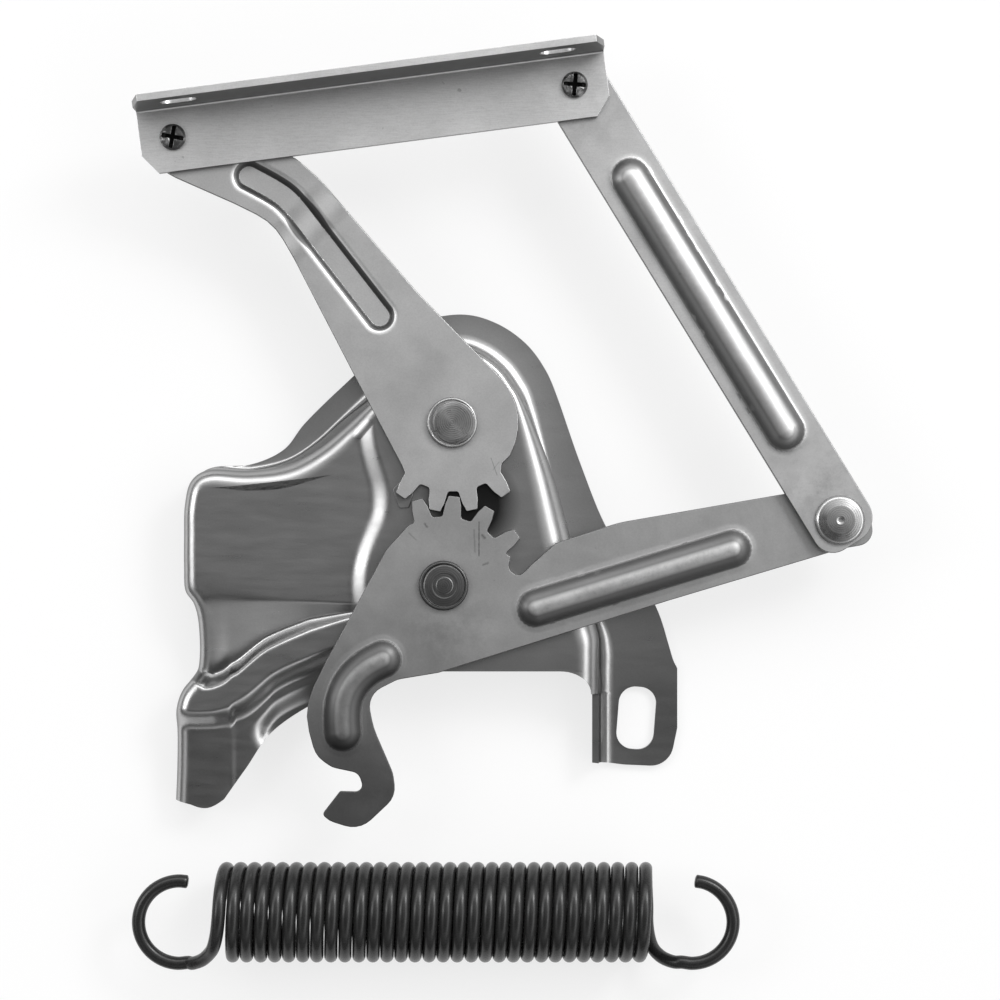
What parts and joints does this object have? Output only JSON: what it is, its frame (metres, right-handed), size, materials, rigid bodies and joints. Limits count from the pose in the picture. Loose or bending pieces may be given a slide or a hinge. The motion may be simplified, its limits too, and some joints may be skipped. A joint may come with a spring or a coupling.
{
  "type": "car bonnet hinge",
  "caption": "Geared bonnet hinge for a car: a pressed base bracket, two toothed arms in mesh, a front link, a slotted bonnet rail and a counterbalance spring.",
  "frame": {"origin": "middle of the fixing slot in the base bracket's ear, on the plane that meets the car body", "axes": "+X across the bracket from its square side flange to its ear, +Y up the bracket towards the upper gear arm and the bonnet rail, +Z out of the mounting plane, along every pivot"},
  "size_m": [0.2873, 0.3582, 0.0603],
  "materials": {
    "base_steel": "bright pressed steel, smooth, shiny on its radii",
    "arm_steel": "satin zinc plate with a fine grain and light stains at the ends",
    "rail_steel": "satin zinc plate",
    "rivet_steel": "turned and spun steel with fine rings",
    "link_rivet_steel": "bright turned steel",
    "washer_steel": "plain zinc plate",
    "black_screw": "black oxide, satin",
    "spring_black": "black phosphate and oil, satin"
  },
  "bodies": {
    "base": {"base_bracket": "base_steel", "upper_pivot_rivet": "rivet_steel", "upper_pivot_spacer": "washer_steel", "upper_pivot_washer": "washer_steel", "lower_pivot_rivet": "rivet_steel", "lower_pivot_spacer": "washer_steel", "lower_pivot_washer": "washer_steel", "counterbalance_spring": "spring_black"},
    "lower_arm": {"lower_arm": "arm_steel", "link_pivot_rivet": "link_rivet_steel", "link_pivot_spacer": "washer_steel", "link_pivot_washer": "washer_steel"},
    "upper_arm": {"upper_arm": "arm_steel"},
    "front_link": {"front_link": "arm_steel", "front_rail_washer": "washer_steel", "front_rail_nut": "washer_steel"},
    "bonnet_rail": {"bonnet_rail": "rail_steel", "rear_rail_screw": "black_screw", "rear_rail_washer": "washer_steel", "rear_rail_nut": "washer_steel", "front_rail_screw": "black_screw"}
  },
  "joints": [
    {"name": "lower_arm_pivot", "type": "hinge", "parent": "base", "child": "lower_arm", "pos_m": [-0.0757, 0.0532, 0.02675], "axis": [0, 0, 1], "range_deg": [-20, 38]},
    {"name": "upper_arm_pivot", "type": "hinge", "parent": "base", "child": "upper_arm", "pos_m": [-0.0724, 0.11611, 0.02675], "axis": [0, 0, 1], "range_deg": [-38, 20]},
    {"name": "rail_pivot", "type": "hinge", "parent": "upper_arm", "child": "bonnet_rail", "pos_m": [-0.17945, 0.22543, 0.0311], "axis": [0, 0, 1], "range_deg": [-37.2, 70.7]},
    {"name": "link_pivot", "type": "hinge", "parent": "lower_arm", "child": "front_link", "pos_m": [0.07692, 0.07847, 0.031], "axis": [0, 0, 1], "range_deg": [-67.3, 35.4]}
  ],
  "couplings": [
    {"joint": "upper_arm_pivot", "follows": "lower_arm_pivot", "ratio": -1},
    {"joint": "rail_pivot", "follows": "lower_arm_pivot", "ratio": 1.86},
    {"joint": "link_pivot", "follows": "lower_arm_pivot", "ratio": -1.77}
  ]
}
